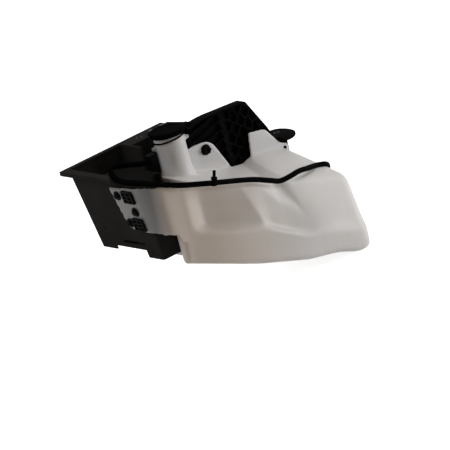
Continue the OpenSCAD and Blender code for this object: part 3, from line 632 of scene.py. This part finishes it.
def tube_rings(path, radius, sides):
    """Rings round a path: at each point a circle of that radius, square to the path, its side axis kept level."""
    ahead = np.gradient(path, axis=0)
    ahead /= np.linalg.norm(ahead, axis=1, keepdims=True)
    side = np.cross(ahead, [0, 0, 1])
    side /= np.linalg.norm(side, axis=1, keepdims=True)
    over = np.cross(side, ahead)
    a = np.linspace(0, 2 * np.pi, sides, endpoint=False)[None, :, None]
    return path[:, None] + radius[:, None, None] * (np.cos(a) * side[:, None] + np.sin(a) * over[:, None])


ringed = 1 - ease(gone, tie_gone - RINGS_FADE_BEFORE, tie_gone + RINGS_FADE_AFTER)
ridge = ease(np.cos(2 * np.pi * gone / RING_PITCH), *RIDGE_BAND)
tape = TAPE_THICK * ease((gone / TAPE_TURN) % 1.0, 0.0, TAPE_EDGE)
conduit_radius = CONDUIT_R - ringed * RING_DEEP * (1 - ridge) - (1 - ringed) * (SLEEVE_IN - tape)
conduit = new_piece("conduit_sleeve", *closed_skin(tube_rings(route, conduit_radius, CONDUIT_SIDES)))
print("conduit rings:", int(tie_gone / RING_PITCH), "faces:", len(conduit.data.polygons))

# %% [markdown]
# ## Surfaces
# Every material is worked out from object coordinates, so it stays put when a piece moves. Effects
# are kept as node groups that give out only masks. A few small helpers place the nodes.

# %% Node helpers
def effect_group(name, inputs, outputs):
    """An empty node group with number inputs and number outputs."""
    tree = bpy.data.node_groups.new(name, "ShaderNodeTree")
    for label, value in inputs:
        tree.interface.new_socket(label, in_out="INPUT", socket_type="NodeSocketFloat").default_value = value
    for label in outputs:
        tree.interface.new_socket(label, in_out="OUTPUT", socket_type="NodeSocketFloat")
    return tree, tree.nodes.new("NodeGroupInput"), tree.nodes.new("NodeGroupOutput")


def add(tree, kind, settings=(), **values):
    """A node with its settings and input values."""
    node = tree.nodes.new(kind)
    for label, value in settings:
        setattr(node, label, value)
    for label, value in values.items():
        node.inputs[label.replace("_", " ")].default_value = value
    return node


def noise(tree, source, detail, **values):
    """A noise texture on object coordinates, or on a stretched copy of them."""
    node = add(tree, "ShaderNodeTexNoise", Detail=detail, **values)
    tree.links.new(source, node.inputs["Vector"])
    return node.outputs["Fac"]


def stretched(tree, source, factors):
    """Coordinates times a factor along each axis."""
    node = add(tree, "ShaderNodeVectorMath", [("operation", "MULTIPLY")])
    node.inputs[1].default_value = factors
    tree.links.new(source, node.inputs[0])
    return node.outputs[0]


def banded(tree, source, low, high):
    """A value spread over 0 to 1 between low and high."""
    node = add(tree, "ShaderNodeMapRange", From_Min=low, From_Max=high)
    tree.links.new(source, node.inputs["Value"])
    return node.outputs["Result"]


def times(tree, a, b):
    """The product of two outputs."""
    node = add(tree, "ShaderNodeMath", [("operation", "MULTIPLY")])
    tree.links.new(a, node.inputs[0])
    tree.links.new(b, node.inputs[1])
    return node.outputs[0]


print("node helpers:", [f.__name__ for f in (effect_group, add, noise, stretched, banded, times)])

# %% [markdown]
# ### Moulded grain
# Moulded plastic has a cloudy tone, a fine grain and long scuffs. Pictures of it could be wrapped
# round each piece, but noise has no seams and suits every size of piece.

# %% Grain group
moulded, moulded_in, moulded_out = effect_group(
    "moulded_grain", [("Fineness", 700.0)], ["Cloud", "Grain", "Scuff"])
spot = moulded.nodes.new("ShaderNodeTexCoord").outputs["Object"]
cloud = noise(moulded, spot, 4.0, Scale=16.0)
moulded.links.new(banded(moulded, cloud, 0.3, 0.7), moulded_out.inputs["Cloud"])
grain = noise(moulded, spot, 2.0)
moulded.links.new(moulded_in.outputs["Fineness"], grain.node.inputs["Scale"])
moulded.links.new(grain, moulded_out.inputs["Grain"])
scuff = noise(moulded, stretched(moulded, spot, (1.0, 0.6, 3.5)), 6.0, Scale=42.0, Roughness=0.65)
moulded.links.new(banded(moulded, scuff, 0.6, 0.74), moulded_out.inputs["Scuff"])
print("effect:", moulded.name)

# %% [markdown]
# ### Settled dust
# A little dust lies in patches on what faces up. It could be scattered as grains, but at this size
# only its pale tone shows, so a mask of the upward faces times a patchy noise is enough.

# %% Dust group
dusty, dusty_in, dusty_out = effect_group("settled_dust", [("Amount", 0.3)], ["Dust"])
where = dusty.nodes.new("ShaderNodeTexCoord")
facing = add(dusty, "ShaderNodeSeparateXYZ")
dusty.links.new(where.outputs["Normal"], facing.inputs[0])
patchy = noise(dusty, where.outputs["Object"], 5.0, Scale=60.0, Roughness=0.7)
lying = times(dusty, banded(dusty, facing.outputs["Z"], 0.35, 1.0), banded(dusty, patchy, 0.35, 0.8))
dusty.links.new(times(dusty, lying, dusty_in.outputs["Amount"]), dusty_out.inputs["Dust"])
print("effect:", dusty.name)

# %% [markdown]
# ### The blown wall and its painted shade
# The wall of the tank varies in thickness and has faint upright streaks. Light passes through it, so
# it looks darker where the black tub or bracket lies behind it, and warmer and darker on the low left of
# the front, where the body is deep and in shade. Light that really passes through takes long to work
# out, so that shade is painted: masks by place along the axes mark those areas, and darker tones are
# painted into the colour there, also on the thin tabs behind the body.

# %% Blown wall group
# painted shade: the tank's left end, where the flange lies on the black tub, is painted much darker
BACKED_SHADE_X = (-0.144, -0.164)  # where each mask begins and where it is full, in metres
# painted shade: a warmer, darker tone on the left of the tank's front, which lies in shade
WARM_SHADE_X, WARM_SHADE_Y = (0.13, -0.06), (-0.115, -0.15)
# painted shade: the thin tabs behind the body are painted darker and bluer where the black bracket lies behind them
TAB_SHADE_ABOVE, TAB_SHADE_Y = (-0.085, -0.065), (0.005, 0.0085)

blown, _, blown_out = effect_group("blown_flow_and_shade", [], ["Thick", "Streak", "BackedShade", "WarmShade", "Tabs"])
spot = blown.nodes.new("ShaderNodeTexCoord").outputs["Object"]
thick = noise(blown, stretched(blown, spot, (0.7, 1.0, 1.2)), 3.0, Scale=9.0)
blown.links.new(banded(blown, thick, 0.3, 0.7), blown_out.inputs["Thick"])
streak = noise(blown, stretched(blown, spot, (1.0, 1.0, 0.06)), 4.0, Scale=110.0)
blown.links.new(banded(blown, streak, 0.35, 0.75), blown_out.inputs["Streak"])

axes = add(blown, "ShaderNodeSeparateXYZ")
blown.links.new(spot, axes.inputs[0])
x_at, y_at = axes.outputs["X"], axes.outputs["Y"]
blown.links.new(banded(blown, x_at, *BACKED_SHADE_X), blown_out.inputs["BackedShade"])
warm_shade = times(blown, banded(blown, x_at, *WARM_SHADE_X), banded(blown, y_at, *WARM_SHADE_Y))
blown.links.new(warm_shade, blown_out.inputs["WarmShade"])
# painted shade: the mask of the tabs that the bracket shades
above = add(blown, "ShaderNodeVectorMath", [("operation", "DOT_PRODUCT")])
above.inputs[1].default_value = (FALL, 0.0, 1.0)
blown.links.new(spot, above.inputs[0])
tabs = times(blown, banded(blown, above.outputs["Value"], *TAB_SHADE_ABOVE), banded(blown, y_at, *TAB_SHADE_Y))
blown.links.new(tabs, blown_out.inputs["Tabs"])
print("effect:", blown.name, "masks:", len(blown_out.inputs) - 1)

# %% [markdown]
# ### Materials
# A finish mixes its colours by the masks, roughens the shader and tilts its normal by a bump. Numbers
# that are the same all over are set on the shader itself.

# %% Material helpers
def start_material(name):
    """A material with a Principled shader, and its node tree."""
    material = bpy.data.materials.new(name)
    material.use_nodes = True
    return material, material.node_tree, material.node_tree.nodes["Principled BSDF"]


def grouped(tree, group, **values):
    """The outputs of a group node with its input values."""
    return add(tree, "ShaderNodeGroup", [("node_tree", group)], **values).outputs


def mixed(tree, factor, a, b):
    """A colour between a and b. Each is a colour or an output."""
    node = add(tree, "ShaderNodeMix", [("data_type", "RGBA")])
    tree.links.new(factor, node.inputs["Factor"])
    for label, value in (("A", a), ("B", b)):
        socket = [s for s in node.inputs if s.name == label and s.type == "RGBA"][0]
        if isinstance(value, tuple):
            socket.default_value = (*value, 1.0)
        else:
            tree.links.new(value, socket)
    return [s for s in node.outputs if s.type == "RGBA"][0]


def between(tree, factor, low, high):
    """A number that runs from low to high as the factor runs from 0 to 1."""
    node = add(tree, "ShaderNodeMapRange", To_Min=low, To_Max=high)
    tree.links.new(factor, node.inputs["Value"])
    return node.outputs["Result"]


def bumped(tree, shader, height, distance, strength=0.5):
    """Lets a height value tilt the shading normal."""
    node = add(tree, "ShaderNodeBump", Strength=strength, Distance=distance)
    tree.links.new(height, node.inputs["Height"])
    tree.links.new(node.outputs["Normal"], shader.inputs["Normal"])


print("material helpers:", [f.__name__ for f in (start_material, grouped, mixed, between, bumped)])

# %% [markdown]
# ### White of the tank
# The tank's plastic is pale, a little glossy, and lets some light soak in. It could be made see-through
# like milky glass, but a pale colour with a little scatter is quicker and less grainy. The masks are
# mixed in one after the other, from the plain wall through the painted shade to the dust.

# %% White of the tank
WALL_TONES = (0.75, 0.745, 0.74), (0.80, 0.80, 0.80)
STREAK_TONE, STREAK_SHARE = (0.66, 0.63, 0.60), 0.10
PAINTED_SHADE_TONES = [("WarmShade", (0.69, 0.62, 0.555)), ("BackedShade", (0.22, 0.22, 0.225)), ("Tabs", (0.65, 0.65, 0.67))]
WALL_DUST_TONE, WALL_DUST = (0.55, 0.52, 0.47), 0.12
WALL_ROUGH, STREAK_DEEP, STREAK_BUMP = (0.34, 0.46), 0.0003, 0.25

blown_white, tree, shader = start_material("blown_white")
flow_and_shade = grouped(tree, blown)
dust_here = grouped(tree, dusty, Amount=WALL_DUST)
wall = mixed(tree, flow_and_shade["Thick"], *WALL_TONES)
wall = mixed(tree, between(tree, flow_and_shade["Streak"], 0.0, STREAK_SHARE), wall, STREAK_TONE)
# painted shade: darker tones where the black tub and bracket lie behind the wall, and a warm one on the shaded
# front's left
for mask, tone in PAINTED_SHADE_TONES:
    wall = mixed(tree, flow_and_shade[mask], wall, tone)
wall = mixed(tree, dust_here["Dust"], wall, WALL_DUST_TONE)
tree.links.new(wall, shader.inputs["Base Color"])
tree.links.new(between(tree, flow_and_shade["Thick"], *WALL_ROUGH), shader.inputs["Roughness"])
shader.inputs["Specular IOR Level"].default_value = 0.25
shader.inputs["Subsurface Weight"].default_value = 0.3
shader.inputs["Subsurface Radius"].default_value = (1.0, 0.8, 0.6)
shader.inputs["Subsurface Scale"].default_value = 0.006
bumped(tree, shader, flow_and_shade["Streak"], STREAK_DEEP, STREAK_BUMP)
print("tank finish:", blown_white.name, len(tree.nodes), "nodes")

# %% [markdown]
# ### Plastics, rubber and steel
# The other pieces are black moulded plastic, rubber and plated steel, and the strainer is white. Each
# could have a node tree of its own, but they share one recipe: two close tones mixed by the cloud,
# grain that bumps the surface, pale scuffs and dust. White surroundings show strongly on black at a
# flat angle, so the shine of the black ones is close to nothing.

# %% Plastics, rubber and steel
DUST_TONE, SCUFF_SHARE, ROUGH_SPREAD = (0.10, 0.095, 0.09), 0.35, 0.07
SCUFF_GAIN, SCUFF_LIFT = 1.6, 0.003
FINISHES = {  # dark tone, light tone, roughness, and what differs from the usual recipe
    "tub_black": ((0.020, 0.0195, 0.0195), (0.030, 0.029, 0.0285), 0.5, dict(fineness=520.0, shine=0.0015)),
    "bracket_black": ((0.0045, 0.0045, 0.0047), (0.008, 0.008, 0.0083), 0.6, dict(shine=0.001)),
    "lid_black": ((0.002, 0.002, 0.002), (0.0045, 0.0045, 0.0047), 0.5, dict(fineness=900.0, shine=0.0005)),
    "seal_rubber": ((0.005, 0.005, 0.005), (0.008, 0.008, 0.008), 0.8, dict(fineness=1200.0, shine=0.02)),
    "conduit_black": ((0.003, 0.003, 0.003), (0.006, 0.0057, 0.0054), 0.6, dict(fineness=1100.0, shine=0.001)),
    "tie_black": ((0.003, 0.003, 0.003), (0.006, 0.006, 0.006), 0.5, dict(fineness=1400.0, shine=0.002)),
    "pump_black": ((0.012, 0.012, 0.0125), (0.019, 0.019, 0.02), 0.45, dict(fineness=800.0, shine=0.06)),
    "plug_black": ((0.005, 0.005, 0.005), (0.008, 0.008, 0.008), 0.5, dict(fineness=800.0, shine=0.002)),
    "strainer_white": ((0.62, 0.61, 0.58), (0.72, 0.71, 0.69), 0.5, dict(fineness=900.0)),
    "zinc_steel": ((0.02, 0.0195, 0.019), (0.03, 0.029, 0.028), 0.38,
                   dict(fineness=400.0, depth=0.0001, metal=0.3, shine=0.05)),
    "fixing_black": ((0.005, 0.005, 0.005), (0.009, 0.009, 0.009), 0.4, dict(fineness=900.0, shine=0.01)),
}


def moulded_finish(name, dark, light, rough, fineness=700.0, depth=0.0002, dust=0.02, metal=0.0, shine=0.15):
    """A moulded or plated finish: two tones, grain, scuffs in a paler tone and a little dust."""
    material, tree, shader = start_material(name)
    marks = grouped(tree, moulded, Fineness=fineness)
    dust_here = grouped(tree, dusty, Amount=dust)
    tone = mixed(tree, marks["Cloud"], dark, light)
    scuff_tone = tuple(SCUFF_GAIN * v + SCUFF_LIFT for v in light)
    worn = mixed(tree, between(tree, marks["Scuff"], 0.0, SCUFF_SHARE), tone, scuff_tone)
    tree.links.new(mixed(tree, dust_here["Dust"], worn, DUST_TONE), shader.inputs["Base Color"])
    roughness = between(tree, marks["Cloud"], rough - ROUGH_SPREAD, rough + ROUGH_SPREAD)
    tree.links.new(roughness, shader.inputs["Roughness"])
    shader.inputs["Metallic"].default_value = metal
    shader.inputs["Specular IOR Level"].default_value = shine
    bumped(tree, shader, marks["Grain"], depth)
    return material


materials = {name: moulded_finish(name, dark, light, rough, **more)
             for name, (dark, light, rough, more) in FINISHES.items()}
materials["blown_white"] = blown_white
print("materials:", len(materials))

# %% [markdown]
# ## Dress the pieces
# Each CAD node takes the material that its slot in the record names. A list of pieces by hand would
# do the same, but would have to change with every new piece.

# %% Materials on the CAD nodes
slot_of = {part["node"]: part["material_slot"] for part in frame["record"]["subparts"]}


def dress(piece, node_name):
    """The piece takes the material of a node's slot."""
    piece.data.materials.clear()
    piece.data.materials.append(materials[slot_of[node_name]])


for name, node in nodes.items():
    dress(node, name)
print("dressed nodes:", len(nodes))

# %% [markdown]
# ### Smooth faces
# Round pieces should not show their facets, and flat ones should keep their edges. Shading everything
# smooth would blur the edges, so a small modifier group leaves the sharp ones as they are.

# %% Smooth faces
SHADE_ANGLE = math.radians(32)


def smooth_group(angle):
    """A modifier group that shades faces smooth, apart from edges sharper than the angle."""
    tree = bpy.data.node_groups.new("smooth_faces", "GeometryNodeTree")
    tree.interface.new_socket("Geometry", in_out="INPUT", socket_type="NodeSocketGeometry")
    tree.interface.new_socket("Geometry", in_out="OUTPUT", socket_type="NodeSocketGeometry")
    start, end = tree.nodes.new("NodeGroupInput"), tree.nodes.new("NodeGroupOutput")
    all_smooth = tree.nodes.new("GeometryNodeSetShadeSmooth")
    corner = tree.nodes.new("GeometryNodeInputMeshEdgeAngle")
    soft = add(tree, "FunctionNodeCompare", [("operation", "LESS_THAN")])
    soft.inputs[1].default_value = angle
    by_edge = add(tree, "GeometryNodeSetShadeSmooth", [("domain", "EDGE")])
    tree.links.new(start.outputs[0], all_smooth.inputs["Geometry"])
    tree.links.new(corner.outputs["Unsigned Angle"], soft.inputs[0])
    tree.links.new(all_smooth.outputs[0], by_edge.inputs["Geometry"])
    tree.links.new(soft.outputs[0], by_edge.inputs["Shade Smooth"])
    tree.links.new(by_edge.outputs[0], end.inputs[0])
    return tree


smooth_faces = smooth_group(SHADE_ANGLE)
print("modifier group:", smooth_faces.name)

# %% [markdown]
# ### Rounded edges
# Moulded edges are never quite sharp. Rounding them in the CAD would take many small faces, so live
# modifiers do it here, by a millimetre at most. The tank, tub and conduit are left out, because other
# pieces stand for them.

# %% Rounded edges
OWN_PIECES = ("tank", "tank_arm", "carrier_tub", "harness_conduit")
SMALL_ROUND, ROUND_ANGLE, ROUND_ROWS, WELD_REACH = 0.35, math.radians(40), 2, 1e-6
EDGE_ROUND = {"rib_bracket": 0.6, "filler_lid": 0.5, "washer_pump": 0.6, "pump_plug": 1.0,
              "harness_plug": 1.0, "cable_tie": 0.4, "tab_bolt": 0.5}


def weld(piece):
    """Joins a mesh's loose triangles where their corners meet."""
    piece.modifiers.new("weld", "WELD").merge_threshold = WELD_REACH


def round_edges(piece, width):
    """Welds a piece's triangles, rounds its sharp edges by the width in millimetres and shades it smooth."""
    weld(piece)
    rounded = piece.modifiers.new("rounded", "BEVEL")
    rounded.width = width * MM
    rounded.segments = ROUND_ROWS
    rounded.limit_method = "ANGLE"
    rounded.angle_limit = ROUND_ANGLE
    rounded.use_clamp_overlap = True
    piece.modifiers.new("shade", "NODES").node_group = smooth_faces


rounded_nodes = [name for name in nodes if name not in OWN_PIECES]
for name in rounded_nodes:
    round_edges(nodes[name], EDGE_ROUND.get(name, SMALL_ROUND))
print("rounded nodes:", len(rounded_nodes))

# %% [markdown]
# ### The tub's low wall
# On the real tub the wall beside the neck is low at the front, so that the foot of the neck can be
# seen. The CAD wall is higher there. A CAD mesh is never changed, so a copy of it is welded, cut and
# shown in its place.

# %% Tub shell
LOW_WALL = [[-101, -40], [-101, -76], [-38, -76], [-35, -58], [-35, -40]]
LOW_WALL_X, TUB_ROUND = (-68, -52), 0.8


def across(a, b, c):
    """A place on a plate that faces along X: a along Y, b up, c along X."""
    return np.stack([c, a, b], -1)


tub_shell = bpy.data.objects.new("tub_shell", nodes["carrier_tub"].data.copy())
scene.collection.objects.link(tub_shell)
weld(tub_shell)
settle(tub_shell)
take_out(tub_shell, plate(LOW_WALL, LOW_WALL_X, across))
round_edges(tub_shell, TUB_ROUND)
print("tub faces:", len(tub_shell.data.polygons))

# %% [markdown]
# ### Stand-ins
# The new pieces ride on the reservoir's body, as the CAD nodes do that they stand for. Those nodes
# stay in the physics model and are not shown.

# %% Put the new pieces in place
def stand_for(piece, *names):
    """The piece rides on the reservoir, takes the slot of the first node and stands for all of them."""
    dress(piece, names[0])
    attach(piece, "reservoir")
    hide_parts(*names)


stand_for(tub_shell, "carrier_tub")
stand_for(tank_skin, "tank", "tank_arm")
stand_for(conduit, "harness_conduit")
print("stand-ins:", tub_shell.name, tank_skin.name, conduit.name)

# %% [markdown]
# ## The floor
# A plain pale floor lies under the lowest point and keeps the object's soft shadow. Without it the
# object would hang in the air. It is brighter to the camera and in reflections than to the object, so
# that the background is white.

# %% Lay the floor
FLOOR_HALF, FLOOR_GAP, FLOOR_THICK = 6000, 1, 5
FLOOR_TONES, FLOOR_ROUGH = ((0.88, 0.88, 0.88), (0.9, 0.9, 0.9)), 0.9
NO_GLOW, FLOOR_GLOW = (0.0, 0.0, 0.0), (0.82, 0.82, 0.82)


def lying_flat(a, b, c):
    """A place on a plate that lies flat: a along X, b along Y, c up."""
    return np.stack([a, b, c], -1)


floor_top = cad_low[2] / MM - FLOOR_GAP
floor_corners = FLOOR_HALF * np.array([[-1, -1], [1, -1], [1, 1], [-1, 1]])
floor_rings = plate(floor_corners, (floor_top - FLOOR_THICK, floor_top), lying_flat)
floor = new_piece("floor", *closed_skin(floor_rings), smooth=False)
floor_white, tree, shader = start_material("floor_white")
shader.inputs["Roughness"].default_value = FLOOR_ROUGH
pale = noise(tree, tree.nodes.new("ShaderNodeTexCoord").outputs["Object"], 2.0, Scale=3.0)
tree.links.new(mixed(tree, pale, *FLOOR_TONES), shader.inputs["Base Color"])
glow = mixed(tree, any_ray(tree, SEEN_RAYS), NO_GLOW, FLOOR_GLOW)
tree.links.new(glow, shader.inputs["Emission Color"])
shader.inputs["Emission Strength"].default_value = 1.0
floor.data.materials.append(floor_white)
print("floor at mm:", round(floor_top, 1))

# %% [markdown]
# ## Measure and finish
# The box of the CAD part is printed. The dressed part has to stay inside the box of the CAD
# part.

# %% Measure and finish
print("CAD box", [round(v, 4) for v in (*cad_low, *cad_high)])
